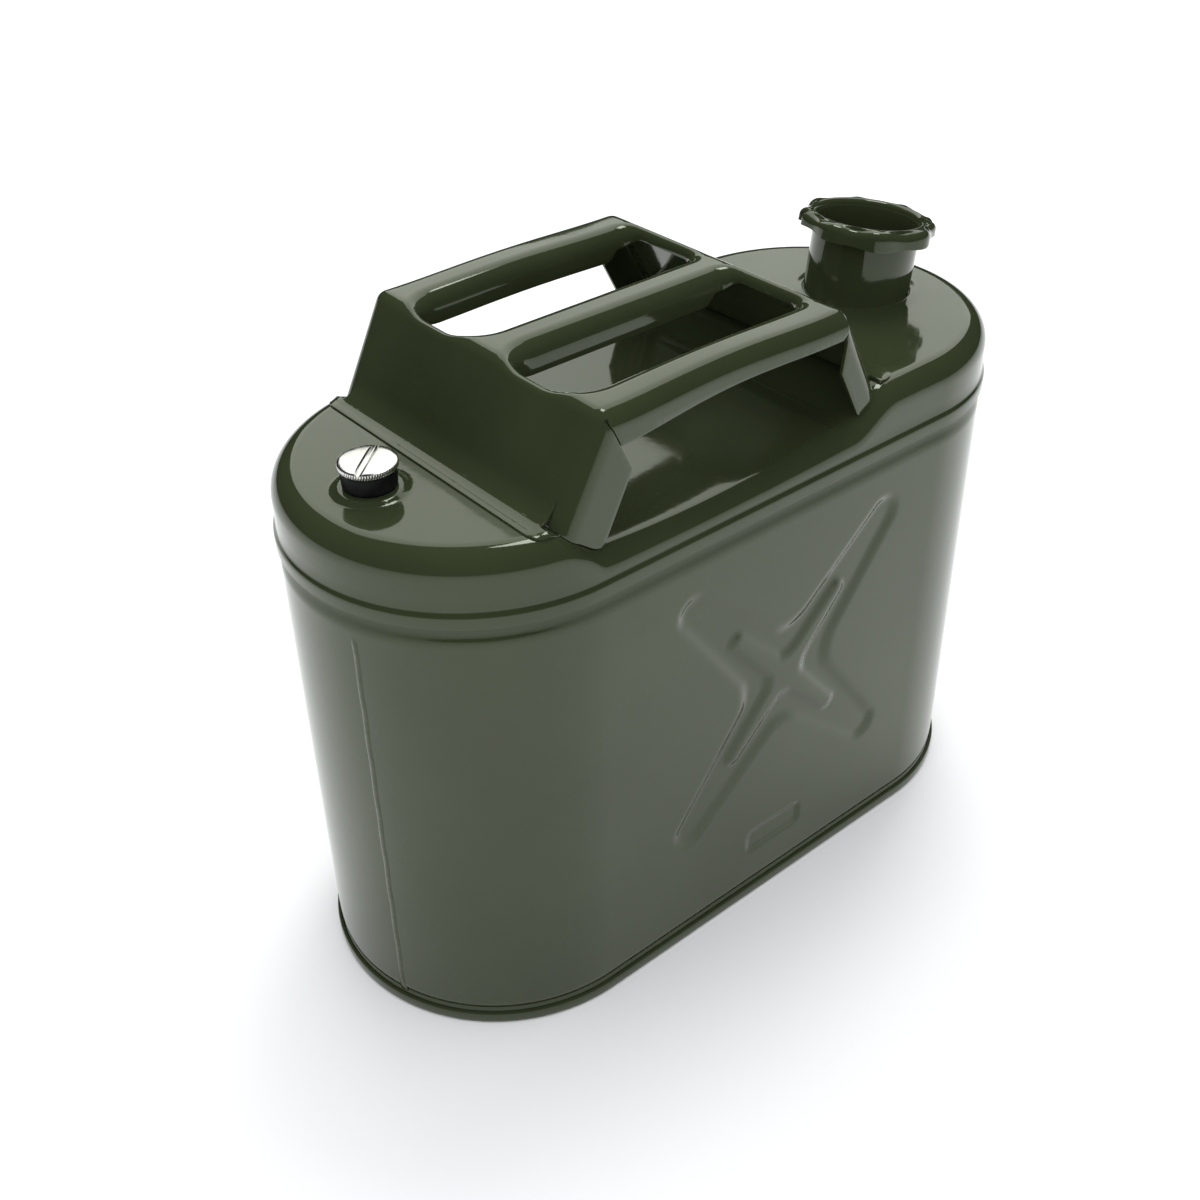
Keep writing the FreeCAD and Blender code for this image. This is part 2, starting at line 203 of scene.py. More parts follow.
def lathe(name, profile, x, steps, body="can", closed=True, radial=None):
    """Turns (radius, z) points about a vertical axis at x; radial reshapes the radius."""
    rows = list(profile) + ([profile[0]] if closed else [])
    verts = []
    for i, (r, z) in enumerate(rows):
        for j in range(steps):
            a = 2 * math.pi * j / steps
            rr, zz = (r, z) if radial is None else radial(i % len(profile), r, z, a)
            verts.append((x + rr * math.cos(a), rr * math.sin(a), zz))
    return make(name, verts, grid_faces(len(rows), steps, True), body=body)


# ------------------------------------------------------------------- materials
class Shade:
    """Small builder for a node material with object coordinates."""

    def __init__(self, name):
        self.material = bpy.data.materials.new(name)
        self.material.use_nodes = True
        self.tree = self.material.node_tree
        self.shader = self.tree.nodes["Principled BSDF"]
        self.coords = self.node("ShaderNodeTexCoord").outputs["Object"]

    def node(self, kind, **settings):
        made = self.tree.nodes.new(kind)
        for key, value in settings.items():
            setattr(made, key, value)
        return made

    def link(self, source, target):
        self.tree.links.new(source, target)

    def noise(self, scale, detail, stretch=(1, 1, 1)):
        place = self.node("ShaderNodeMapping")
        place.inputs["Scale"].default_value = stretch
        self.link(self.coords, place.inputs["Vector"])
        made = self.node("ShaderNodeTexNoise")
        made.inputs["Scale"].default_value = scale
        made.inputs["Detail"].default_value = detail
        made.inputs["Roughness"].default_value = 0.55
        self.link(place.outputs[0], made.inputs["Vector"])
        return made.outputs["Fac"]

    def ramp(self, source, stops):
        made = self.node("ShaderNodeValToRGB")
        points = made.color_ramp.elements
        while len(points) < len(stops):
            points.new(0.5)
        for point, (at, value) in zip(points, stops):
            point.position = at
            point.color = (*value, 1) if hasattr(value, "__len__") else (value, value, value, 1)
        self.link(source, made.inputs["Fac"])
        return made.outputs["Color"]

    def feed(self, socket, value):
        """Gives a socket a node's output, a colour or a number."""
        if hasattr(value, "is_output"):
            self.link(value, socket)
        elif hasattr(value, "__len__"):
            socket.default_value = (*value, 1)
        else:
            socket.default_value = value

    def mix(self, factor, first, second):
        made = self.node("ShaderNodeMix", data_type="RGBA")
        for key, value in (("Factor", factor), ("A", first), ("B", second)):
            self.feed(made.inputs[key], value)
        return made.outputs["Result"]

    def math(self, operation, first, second):
        made = self.node("ShaderNodeMath", operation=operation)
        for socket, value in zip(made.inputs, (first, second)):
            self.feed(socket, value)
        return made.outputs[0]

    def bump(self, heights):
        """Chains (height, distance in mm, strength) into the shader's normal."""
        normal = None
        for height, distance, strength in heights:
            made = self.node("ShaderNodeBump")
            made.inputs["Distance"].default_value = distance * MM
            made.inputs["Strength"].default_value = strength
            self.link(height, made.inputs["Height"])
            if normal is not None:
                self.link(normal, made.inputs["Normal"])
            normal = made.outputs["Normal"]
        self.link(normal, self.shader.inputs["Normal"])
        return normal

    def set(self, **values):
        """Sets shader inputs by name, with underscores for the spaces."""
        for key, value in values.items():
            self.feed(self.shader.inputs[key.replace("_", " ")], value)


def enamel(name, tint=(0.027, 0.034, 0.016)):
    """Thick gloss olive enamel: faint mottling, orange peel, dust and fine rubs."""
    s = Shade(name)
    dark = tuple(0.86 * c for c in tint)
    light = tuple(1.16 * c for c in tint)
    broad = s.ramp(s.noise(14.0, 3.0), [(0.3, dark), (0.7, light)])
    fleck = s.ramp(s.noise(1900.0, 1.0), [(0.74, 0.0), (0.8, 1.0)])
    haze = s.ramp(s.noise(60.0, 6.0), [(0.45, 0.0), (0.8, 1.0)])
    dusty = s.mix(s.math("MULTIPLY", fleck, 0.2), broad, (0.13, 0.14, 0.1))
    edges = s.ramp(s.node("ShaderNodeNewGeometry").outputs["Pointiness"], [(0.53, 0.0), (0.62, 1.0)])
    rubbed = s.mix(s.math("MULTIPLY", edges, 0.25), dusty, (0.05, 0.058, 0.036))
    rubs = s.ramp(s.noise(420.0, 2.0, stretch=(0.08, 1.0, 1.0)), [(0.66, 0.0), (0.8, 1.0)])
    s.set(Base_Color=rubbed, Coat_Weight=0.15, Coat_Roughness=0.04, Coat_IOR=1.5, IOR=1.5)
    s.set(Specular_Tint=(0.92, 1.0, 0.82), Coat_Tint=(0.96, 1.0, 0.9))
    s.set(Roughness=s.math("ADD", s.math("MULTIPLY", haze, 0.06),
                           s.math("ADD", s.math("MULTIPLY", rubs, 0.06), 0.07)))
    peel = s.bump([(s.noise(170.0, 2.0), 0.06, 0.35), (s.noise(900.0, 1.0), 0.01, 0.15)])
    s.link(peel, s.shader.inputs["Coat Normal"])
    return s.material


def plated(name):
    """Bright nickel plate with faint turning marks and handling marks."""
    s = Shade(name)
    marks = s.noise(260.0, 3.0, stretch=(1.0, 1.0, 7.0))
    smear = s.ramp(s.noise(120.0, 5.0), [(0.4, 0.0), (0.75, 1.0)])
    s.set(Base_Color=s.mix(smear, (0.80, 0.79, 0.77), (0.66, 0.65, 0.62)), Metallic=1.0)
    s.set(Roughness=s.math("ADD", s.math("MULTIPLY", smear, 0.14), 0.13))
    s.bump([(marks, 0.03, 0.3), (s.noise(2500.0, 1.0), 0.01, 0.2)])
    return s.material


def rubber(name, tint=(0.006, 0.006, 0.006)):
    """Moulded black rubber with a dusty, slightly uneven skin."""
    s = Shade(name)
    bloom = s.ramp(s.noise(240.0, 5.0), [(0.4, 0.0), (0.8, 1.0)])
    lifted = tuple(2.6 * c for c in tint)
    s.set(Base_Color=s.mix(bloom, tint, lifted), Specular_IOR_Level=0.22)
    s.set(Roughness=s.math("ADD", s.math("MULTIPLY", bloom, 0.2), 0.42))
    s.bump([(s.noise(1500.0, 3.0), 0.03, 0.4)])
    return s.material


def machined(name):
    """Grey machined steel."""
    s = Shade(name)
    stain = s.ramp(s.noise(90.0, 5.0), [(0.35, 0.0), (0.75, 1.0)])
    s.set(Base_Color=s.mix(stain, (0.36, 0.35, 0.33), (0.2, 0.19, 0.17)), Metallic=1.0)
    s.set(Roughness=s.math("ADD", s.math("MULTIPLY", stain, 0.2), 0.3))
    s.bump([(s.noise(700.0, 2.0, stretch=(1, 1, 9)), 0.02, 0.4)])
    return s.material


OLIVE = enamel("olive_enamel")
PLATED = plated("bright_plate")
BLACK = rubber("black_rubber")
SEALANT = rubber("seam_sealant", (0.05, 0.05, 0.045))
STEEL = machined("bare_steel")


def paint(obj, material):
    """Makes material the object's only one."""
    obj.data.materials.clear()
    obj.data.materials.append(material)
    return obj


# ------------------------------------------------------------------ body shell
BODY_R = 60.3               # outside of the wall
NECKED_R = 59.0             # drawn-in top, inside the lid's band
SEAM_R = 61.45              # outside of the rolled base rim
RIB_CENTRE = (5.0, 96.0)
RIB_DEPTH = 1.3
PAD_Z = 26.0                # height of the blank pad below the ribs
PAD_DEPTH = 0.8


def arm_distance(x, z, dx, dz, reach, wide, narrow):
    """Signed distance to a tapered arm from the centre towards (dx, dz)."""
    length = math.hypot(dx, dz)
    ux, uz = dx / length, dz / length
    t = np.clip((x * ux + z * uz) / reach, 0.0, 1.0)
    away = np.hypot(x - t * reach * ux, z - t * reach * uz)
    return away - (wide + (narrow - wide) * t)


def cross_distance(x, z, reach, wide, narrow, blend):
    """Four arms of a diagonal cross, run together with soft corners."""
    total = None
    for sx in (-1, 1):
        for sz in (-1, 1):
            d = arm_distance(x, z, sx * 1.0, sz * 1.06, reach, wide, narrow)
            if total is None:
                total = d
            else:
                h = np.clip(0.5 + 0.5 * (total - d) / blend, 0.0, 1.0)
                total = total * (1 - h) + d * h - blend * h * (1 - h)
    return total


def pressing(x, z):
    """Depth of the side wall's stiffening pressing at (x, z)."""
    px, pz = x - RIB_CENTRE[0], z - RIB_CENTRE[1]
    outer = cross_distance(px, pz, 62.0, 13.5, 6.5, 9.0)
    inner = cross_distance(px, pz, 33.0, 5.0, 3.2, 5.0)
    sunk = ease((2.0 - outer) / 6.0) - ease((2.0 - inner) / 5.0)
    pad_x = np.maximum(np.abs(px + 1.0) - 10.5, 0.0)
    pad_z = np.maximum(np.abs(z - PAD_Z) - 2.2, 0.0)
    pad = ease((3.4 - np.hypot(pad_x, pad_z)) / 2.2)
    return RIB_DEPTH * sunk + PAD_DEPTH * pad


def body_radius(z):
    """Outside radius of the wall, with the groove above the seam and the drawn-in top."""
    shoulder = ease((z - 156.5) / 7.0)
    groove = 0.55 * math.exp(-((z - 6.0) / 1.0) ** 2)
    return BODY_R - (BODY_R - NECKED_R) * shoulder - groove


def build_body():
    around = stations(146, 96)
    levels = [1.3, 2.5, 4.2, 4.8, 5.2, 5.6, 6.0, 6.4, 6.8, 7.3, 8.0, 9.0]
    levels += list(np.arange(10.0, 156.1, 1.0))
    levels += list(np.arange(156.6, 165.0, 0.4)) + [166.0, 168.0, 169.5]
    cx = np.array([s[0] for s in around])
    nx = np.array([s[1] for s in around])
    ny = np.array([s[2] for s in around])
    flat = np.where(np.abs(nx) < 1e-9, 1.0, 0.0)
    verts = []
    for z in levels:
        r = body_radius(z) - flat * pressing(cx, np.full_like(cx, z))
        verts += list(zip(cx + nx * r, ny * r, np.full_like(cx, z)))
    obj = make("body_sheet", verts, grid_faces(len(levels), len(around), True))
    flip_if(obj, (0, -BODY_R, 20), (0, -1, 0))
    thicken(obj, SHEET)
    bake(obj)
    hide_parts("body_shell")
    return paint(obj, OLIVE)


def build_side_weld():
    """Slightly uneven weld bead, feathered into the wall at its ends."""
    low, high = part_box("side_weld")
    middle = 0.5 * (low + high) / MM
    angle = math.atan2(middle.y, middle.x + HALF)
    verts, cols = [], 9
    levels = np.arange(low.z / MM, high.z / MM + 0.01, 1.2)
    for i, z in enumerate(levels):
        fade = min(1.0, i / 3.0, (len(levels) - 1 - i) / 3.0)
        wobble = 0.05 * math.sin(z * 1.9) + 0.04 * math.sin(z * 0.63 + 1.0)
        for j in range(cols):
            t = -1 + 2 * j / (cols - 1)
            a = angle + (1.25 * t + 0.12 * math.sin(z * 0.31)) / BODY_R
            r = BODY_R - 0.12 + fade * (0.40 + wobble) * math.cos(t * math.pi / 2) ** 0.7
            verts.append((-HALF + r * math.cos(a), r * math.sin(a), z))
    obj = make("side_weld_bead", verts, grid_faces(len(levels), cols, False))
    flip_if(obj, verts[len(verts) // 2], (-1, -0.3, 0))
    thicken(obj, 0.3)
    bake(obj, 60)
    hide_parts("side_weld")
    return paint(obj, OLIVE)


# ------------------------------------------------------------------------ base
def build_base():
    """Recessed pan with its rolled rim, and the sealant ring inside the seam."""
    rim = [(60.45, 4.55), (60.85, 4.5), (61.2, 4.3), (61.38, 3.9), (SEAM_R, 3.4), (SEAM_R, 1.1),
           (61.35, 0.6), (61.1, 0.2), (60.7, 0.02), (60.2, 0.0), (59.4, 0.0), (58.9, 0.1),
           (58.5, 0.5), (58.4, 1.1), (58.35, 3.4), (58.1, 4.1), (57.6, 4.5), (56.9, 4.6)]
    floor = [(52.0, 4.6), (50.5, 4.7), (49.5, 5.2), (48.5, 5.3), (47.5, 5.3), (46.5, 5.2),
             (45.5, 4.7), (44.0, 4.6), (30.0, 4.6), (15.0, 4.6), (0.0, 4.6)]
    obj = obround_sweep("base_pan", rim + floor, straight=50, arc=64)
    flip_if(obj, (0, -SEAM_R, 2.2), (0, -1, 0))
    thicken(obj, 0.6)
    bake(obj)
    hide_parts("bottom_pan")
    paint(obj, OLIVE)
    ring = [(59.1, 1.0), (59.45, 1.0), (59.45, 4.1), (59.3, 4.2), (59.1, 4.0)]
    seal = obround_sweep("seam_compound", ring, straight=40, arc=48, closed=True)
    bake(seal)
    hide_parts("bottom_sealant")
    paint(seal, SEALANT)


# ------------------------------------------------------------------------- lid
LID_R = 60.0                # outside of the lid's upright wall
BAND_R = 61.0               # joggled edge that laps over the body
ROUND_R = 8.0               # rounding between the wall and the top
STEP_LEFT = (-88.0, -67.0)  # where the vent-side step starts and ends
STEP_RIGHT = (27.0, 51.0)   # where the spout-side step starts and ends


def deck_height(x):
    """Top of the lid along the can: plateau, gently dished deck, plateau."""
    down = ease((x - STEP_LEFT[0]) / (STEP_LEFT[1] - STEP_LEFT[0]))
    up = ease((x - STEP_RIGHT[0]) / (STEP_RIGHT[1] - STEP_RIGHT[0]))
    dish = DECK_TOP - 1.9 + 2.4 * np.clip((x + 30.0) / 55.0, -1, 1) ** 2
    return LID_TOP - (LID_TOP - dish) * (down - up)


def rim_drop(x, y):
    """How far the lid's rounded edge has fallen away at (x, y)."""
    past_flat = math.hypot(max(abs(x) - HALF, 0.0), y) - (LID_R - ROUND_R)
    inward = min(ROUND_R - 0.1, max(0.0, past_flat))
    return ROUND_R - math.sqrt(ROUND_R ** 2 - inward ** 2)


def lid_point(cx, nx, ny, inset, drop):
    """Point on the lid: inset from the wall, drop below the local top."""
    r = LID_R - inset
    x, y = cx + nx * r, ny * r
    z = deck_height(x) - drop
    boss = ease((11.8 - np.hypot(x - VENT_X, y)) / 2.4)
    swell = ease((23.0 - np.hypot(x - NECK_X, y)) / 5.0)
    return x, y, z + 1.2 * boss * (inset > 9) + 0.3 * swell * (inset > 9)


def build_lid():
    straight, arc = 110, 120
    around = stations(straight, arc)
    cx = np.array([s[0] for s in around])
    nx = np.array([s[1] for s in around])
    ny = np.array([s[2] for s in around])
    verts = []
    band = [(BAND_R, 164.5), (BAND_R, 166.2), (BAND_R, 167.6), (60.93, 168.2), (60.72, 168.7),
            (60.4, 169.1), (60.14, 169.5), (60.02, 170.0)]
    for r, z in band:
        verts += list(zip(cx + nx * r, ny * r, np.full_like(cx, z)))
    deck = deck_height(cx + nx * LID_R)
    round_off = np.minimum(ROUND_R, deck - 170.6)   # kept above the band at its lowest
    wall = deck - round_off
    for t in (0.35, 0.7):
        z = 170.0 + (wall - 170.0) * t
        verts += list(zip(cx + nx * LID_R, ny * LID_R, z))
    insets = []
    for i in range(15):
        a = 0.5 * math.pi * i / 14
        insets.append((round_off * (1 - math.cos(a)), round_off * (1 - math.sin(a))))
    flat_rings = list(np.arange(8.4, 59.5, 0.9)) + [LID_R]
    insets += [(v, 0.0) for v in flat_rings]
    for inset, drop in insets:
        verts += list(zip(*lid_point(cx, nx, ny, inset, drop)))
    rows = len(band) + 2 + len(insets)
    obj = make("lid_pressing", verts, grid_faces(rows, len(around), True))
    flip_if(obj, (-40, 0, DECK_TOP), (0, 0, 1))
    thicken(obj, SHEET)
    bake(obj)
    carve(obj, lid_plug(NECK_X, 18.3, 128))
    carve(obj, lid_plug(VENT_X, 4.45, 64))
    bake(obj)
    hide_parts("lid")
    paint(obj, OLIVE)
    braze = [(59.0, 165.2), (60.15, 165.0), (60.2, 165.4), (60.2, 167.2), (59.0, 167.3)]
    filler = obround_sweep("lap_braze", braze, straight=40, arc=60, closed=True)
    bake(filler)
    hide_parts("lap_filler")
    paint(filler, OLIVE)


# ---------------------------------------------------------------------- handle
class Track:
    """Polyline in the XZ plane with rounded corners, sampled by arc length."""

    def __init__(self, points, radii):
        self.parts = []
        self.marks = []
        here = Vector(points[0])
        s = 0.0
        for i in range(1, len(points)):
            corner = Vector(points[i])
            along = (corner - Vector(points[i - 1])).normalized()
            if i == len(points) - 1:
                self.parts.append(("line", s, s + (corner - here).length, here, along))
                s += (corner - here).length
                break
            onward = (Vector(points[i + 1]) - corner).normalized()
            turn = math.atan2(along.x * onward.y - along.y * onward.x, along.dot(onward))
            radius = radii[i - 1]
            trim = radius * math.tan(abs(turn) / 2)
            stop = corner - along * trim
            self.parts.append(("line", s, s + (stop - here).length, here, along))
            s += (stop - here).length
            side = Vector((-along.y, along.x)) * math.copysign(1.0, turn)
            after = s + radius * abs(turn)
            self.parts.append(("arc", s, after, stop + side * radius, (-side, turn, radius)))
            self.marks.append((s, after))
            s = after
            here = corner + onward * trim
        self.length = s

    def at(self, s, straight=None):
        """Point and upward normal at s; straight follows that run on past its bends."""
        part = None
        if straight is None:
            for candidate in self.parts:
                if s <= candidate[2] or candidate is self.parts[-1]:
                    part = candidate
                    break
        else:
            part = self.parts[straight]
        if part[0] == "line":
            point = part[3] + part[4] * (s - part[1])
            return point, Vector((-part[4].y, part[4].x))
        spoke, turn, radius = part[4]
        a = turn * (s - part[1]) / (part[2] - part[1])
        spoke = Vector((spoke.x * math.cos(a) - spoke.y * math.sin(a),
                        spoke.x * math.sin(a) + spoke.y * math.cos(a)))
        normal = spoke if turn < 0 else -spoke
        return part[3] + spoke * radius, normal


FOOT_Z = LID_TOP + 0.55     # the feet are set down close to the lid
ARCH = 0.7                  # rise of the outer bars at mid length
WAIST = 1.2                 # inward bow of the near outer edge
RIM_Z = HANDLE_TOP - ARCH
CORNER_X = (-67.75, 28.05)
SLOPE = (0.5155, 0.526)
CORNERS = [
    (HANDLE_X[0], FOOT_Z),
    (CORNER_X[0] - SLOPE[0] * (RIM_Z - FOOT_Z), FOOT_Z),
    (CORNER_X[0], RIM_Z),
    (CORNER_X[1], RIM_Z),
    (CORNER_X[1] + SLOPE[1] * (RIM_Z - FOOT_Z), FOOT_Z),
    (HANDLE_X[1], FOOT_Z),
]
BEND = 4.5                  # radius of the bends at the top
TRACK = Track(CORNERS, (10.0, BEND, BEND, 10.0))
TRIM = BEND * math.tan(0.5 * (TRACK.marks[1][1] - TRACK.marks[1][0]) / BEND)
SIDE_R = 6.0                # rounding of the outer bars
SIDE_Y = 56.2               # half the handle's width
ARC = SIDE_R * math.pi / 2
FLAT_Y = SIDE_Y - SIDE_R
SLIT_V = 54.3               # where the corner slits start in the flat pattern
RELIEF_V = 49.5             # relief cut between the feet and the side wings
FOOT_V = 54.0
BAR_RUN = (-60.0, 20.0)     # where the bars start and end along the can
SLOT_Y = (8.3, 39.2)        # a finger slot across the can, before its rim rolls down
WING_LEFT = (12.99, 16.93)  # run and depth of the vent-side wing's free edge
WING_RIGHT = (15.96, 11.33)
SLIT_DROP = 1.6             # how far down the slits start


def across(v):
    """Folds the pattern's width coordinate v: returns y and the drop off the top."""
    a = abs(v)
    sign = 1.0 if v >= 0 else -1.0
    if a <= FLAT_Y:
        return v, 0.0
    if a <= FLAT_Y + ARC:
        t = (a - FLAT_Y) / SIDE_R
        return sign * (FLAT_Y + SIDE_R * math.sin(t)), SIDE_R * (1 - math.cos(t))
    return sign * SIDE_Y, SIDE_R + a - FLAT_Y - ARC


def width_at(drop):
    """Flat-pattern width coordinate whose folded drop is the one asked for."""
    if drop < SIDE_R:
        return FLAT_Y + SIDE_R * math.acos(1 - drop / SIDE_R)
    return FLAT_Y + ARC + drop - SIDE_R


def bow(x, y, z):
    """The slight arch of the outer bars and the near edge's waist."""
    middle, half = 0.5 * (BAR_RUN[0] + BAR_RUN[1]), 0.5 * (BAR_RUN[1] - BAR_RUN[0])
    k = max(0.0, 1 - ((x - middle) / half) ** 2) ** 2
    rise = ARCH * k * float(ease((abs(y) - 12.0) / 20.0))
    return x, y + WAIST * k * float(ease((-y - 40.0) / 14.0)), z + rise


def fold(s, v, extra=0.0):
    """Flat-pattern point (s, v) folded into the handle, sunk by extra."""
    left_foot, left_top, right_top, right_foot = TRACK.marks
    a = abs(v)
    flange = s <= left_foot[0] or s >= right_foot[1]
    ear = a > RELIEF_V and (s < EARS[0] + 0.1 or s > EARS[1] - 0.1)
    if a < FOOT_V + 0.3 and (flange or ear):
        point, normal = TRACK.at(s)
        return point.x, v, point.y - rim_drop(point.x, v) - extra
    y, drop = across(v)
    point, normal = TRACK.at(s)
    spot = point - normal * (drop + extra)
    if a > RELIEF_V:
        run, weight = None, float(ease((a - SLIT_V) / 3.2))
        if s < 0.5 * (left_top[0] + left_top[1]):
            run = 2
        elif s > 0.5 * (right_top[0] + right_top[1]):
            run = 6
        elif s < left_top[1] or s > right_top[0]:
            run = 4
        if run == 2 and s < left_foot[1] or run == 6 and s > right_foot[0]:
            weight = 1.0
        if run is not None:
            point, normal = TRACK.at(s, run)
            spot = spot.lerp(point - normal * (drop + extra), weight)
    return bow(spot.x, y, spot.y)


def loop_points(corners, step):
    """Densifies a closed polygon so that no edge is longer than step."""
    found = []
    for i, (x0, y0) in enumerate(corners):
        x1, y1 = corners[(i + 1) % len(corners)]
        count = max(1, int(math.ceil(math.hypot(x1 - x0, y1 - y0) / step)))
        for k in range(count):
            found.append((x0 + (x1 - x0) * k / count, y0 + (y1 - y0) * k / count))
    return found


def rounded_open(corners, steps=6):
    """Rounds each (point, cut) of an open path, where cut is measured along its legs."""
    found = []
    for i, (here, cut) in enumerate(corners):
        q = Vector(here)
        p = Vector(corners[i - 1][0]) if i > 0 else Vector((here[0], 0.0))
        r = Vector(corners[i + 1][0]) if i + 1 < len(corners) else Vector((here[0], 0.0))
        a = q + (p - q).normalized() * cut
        b = q + (r - q).normalized() * cut
        for k in range(steps + 1):
            t = k / steps
            spot = a * (1 - t) ** 2 + q * 2 * t * (1 - t) + b * t ** 2
            found.append((spot.x, spot.y))
    return found


def wing_bottom(v, right):
    """Flat-pattern s at which a side wing meets the lid, for width coordinate v."""
    left_foot, left_top, right_top, right_foot = TRACK.marks
    y, drop = across(v)
    clear = 0.25 + (0.9 if right else 0.5) * float(ease((drop - 3.0) / 6.0))
    low, high = (right_foot[1] + 9.0, right_top[1]) if right else (left_foot[0] - 9.0, left_top[0])
    for _ in range(40):
        s = 0.5 * (low + high)
        point, normal = TRACK.at(s, 6 if right else 2)
        spot = point - normal * drop
        if spot.y - clear < float(deck_height(spot.x)) - rim_drop(spot.x, y):
            low = s
        else:
            high = s
    return s


EARS = (min(wing_bottom(v, False) for v in np.linspace(RELIEF_V + 0.2, FOOT_V, 9)) - 0.45,
        max(wing_bottom(v, True) for v in np.linspace(RELIEF_V + 0.2, FOOT_V, 9)) + 0.45)


def wing_edge(right):
    """Free edge of one wing from the relief cut round to the start of its slit."""
    run, depth = WING_RIGHT if right else WING_LEFT
    corner = TRACK.marks[2][1] - TRIM if right else TRACK.marks[1][0] + TRIM
    sign = 1 if right else -1
    v_end = width_at(depth)
    path = []
    steps = 26
    for k in range(steps + 1):
        v = RELIEF_V + 0.2 + (v_end - RELIEF_V - 0.2) * k / steps
        path.append((wing_bottom(v, right), v))
    last = path.pop()
    path.append((last[0] - sign * 1.2, last[1]))
    for k in range(15):
        drop = depth * (1 - k / 14) + SLIT_DROP * k / 14
        path.append((corner + sign * (run / depth * drop + 0.22), width_at(drop)))
    return path


def lip_edge(right):
    """End of the near or far bar's lip, from its lower corner up to the slit."""
    corner = TRACK.marks[2][0] + TRIM if right else TRACK.marks[1][1] - TRIM
    slope, gap = (-2.6 / 19.4, -0.3) if right else (9.1 / 19.3, 0.22)
    full = lip_depth(BAR_RUN[1] if right else BAR_RUN[0])
    depth = full - 1.8 if right else full
    path = []
    for k in range(9):
        drop = depth * (1 - k / 8) + SLIT_DROP * k / 8
        path.append((corner + slope * drop + gap, width_at(drop)))
    if right:
        path.insert(0, (path[0][0] - 2.2, width_at(full)))
    return path


def lip_depth(x):
    """Depth of the outer lips below the handle's top, deeper at the vent end."""
    back = (BAR_RUN[1] - x) / (BAR_RUN[1] - BAR_RUN[0])
    return 8.1 + 2.6 * min(1.0, max(0.0, back)) ** 2


def handle_outline():
    """Edge of the flat pattern, with slits between the wings and the lips."""
    left_foot, left_top, right_top, right_foot = TRACK.marks
    end = TRACK.length
    upper = rounded_open([((0.0, FOOT_V), 5.6), ((EARS[0], FOOT_V), 0.4)])
    upper += [(EARS[0], RELIEF_V - 0.15), (left_foot[1] + 0.4, RELIEF_V - 0.15),
              (left_foot[1] + 0.4, RELIEF_V + 0.15)]
    upper += wing_edge(False)
    upper.append((0.5 * (left_top[0] + left_top[1]), SLIT_V))
    upper += lip_edge(False)[::-1]
    x0 = TRACK.at(upper[-1][0], 4)[0].x
    x1 = TRACK.at(lip_edge(True)[0][0], 4)[0].x
    for k in range(1, 40):
        x = x0 + (x1 - x0) * k / 40
        upper.append((upper[-1][0] + (x1 - x0) / 40, width_at(lip_depth(x))))
    upper += lip_edge(True)
    upper.append((0.5 * (right_top[0] + right_top[1]), SLIT_V))
    upper += wing_edge(True)[::-1]
    upper += [(right_foot[0] - 0.4, RELIEF_V + 0.15), (right_foot[0] - 0.4, RELIEF_V - 0.15),
              (EARS[1], RELIEF_V - 0.15)]
    upper += rounded_open([((EARS[1], FOOT_V), 0.4), ((end, FOOT_V), 6.2)])
    return upper + [(s, -v) for s, v in reversed(upper)]


def slot_outline(side):
    """Opening of one finger slot in the flat pattern, with outward directions."""
    left_top, right_top = TRACK.marks[1], TRACK.marks[2]
    s0 = 0.5 * (left_top[0] + left_top[1]) - 0.3
    s1 = 0.5 * (right_top[0] + right_top[1]) - 3.3
    y0, y1 = SLOT_Y
    quarters = [(s1, y0, 5.0, 5.0, -90), (s1, y1, 5.0, 5.0, 0),
                (s0, y1, 13.0, 11.0, 90), (s0, y0, 13.0, 11.0, 180)]
    points = []
    for cs, cy, rs, ry, start in quarters:
        ms = cs - rs if cs == s1 else cs + rs
        my = cy + ry if cy == y0 else cy - ry
        for i in range(19):
            a = math.radians(start + 90 * i / 18)
            ns, ny = math.cos(a) / rs, math.sin(a) / ry
            size = math.hypot(ns, ny)
            points.append((ms + rs * math.cos(a), my + ry * math.sin(a), ns / size, ny / size))
    filled = []
    for k, here in enumerate(points):
        s, y, ds, dy = here
        onward = points[(k + 1) % len(points)]
        filled.append(here)
        count = int(math.hypot(onward[0] - s, onward[1] - y) / 1.8)
        for i in range(1, count):
            t = i / count
            filled.append((s + (onward[0] - s) * t, y + (onward[1] - y) * t, ds, dy))
    return [(s, side * y, ds, side * dy) for s, y, ds, dy in filled]


def slot_rim(side):
    """One finger slot's rolled-down rim: its folded rings, and its two pattern outlines."""
    points = slot_outline(side)
    run_low, run_high = TRACK.marks[1][1] - 3.0, TRACK.marks[2][0] - 7.0
    bend, lip = [], []
    for s, y, ds, dy in points:
        bend.append(3.2 + 2.8 * dy ** 2)
        beside_bar = float(ease((s - run_low) / 6.0) * ease((run_high - s) / 4.0))
        lip.append(0.5 + 3.6 * beside_bar * dy ** 4)
    rings = []
    for k in (1.0, 0.5):
        rings.append([fold(s, y, bend[i] + lip[i] * k) for i, (s, y, ds, dy) in enumerate(points)])
    for j in range(9):
        a = 0.5 * math.pi * j / 8
        ring = []
        for i, (s, y, ds, dy) in enumerate(points):
            inset = bend[i] * (1 - math.cos(a))
            drop = bend[i] * (1 - math.sin(a))
            ring.append(fold(s + ds * inset, y + dy * inset, drop))
        rings.append(ring)
    outlines = []
    for lap in (0.0, 0.5):
        outlines.append([(s + ds * (bend[i] + lap), y + dy * (bend[i] + lap))
                         for i, (s, y, ds, dy) in enumerate(points)])
    return rings, outlines


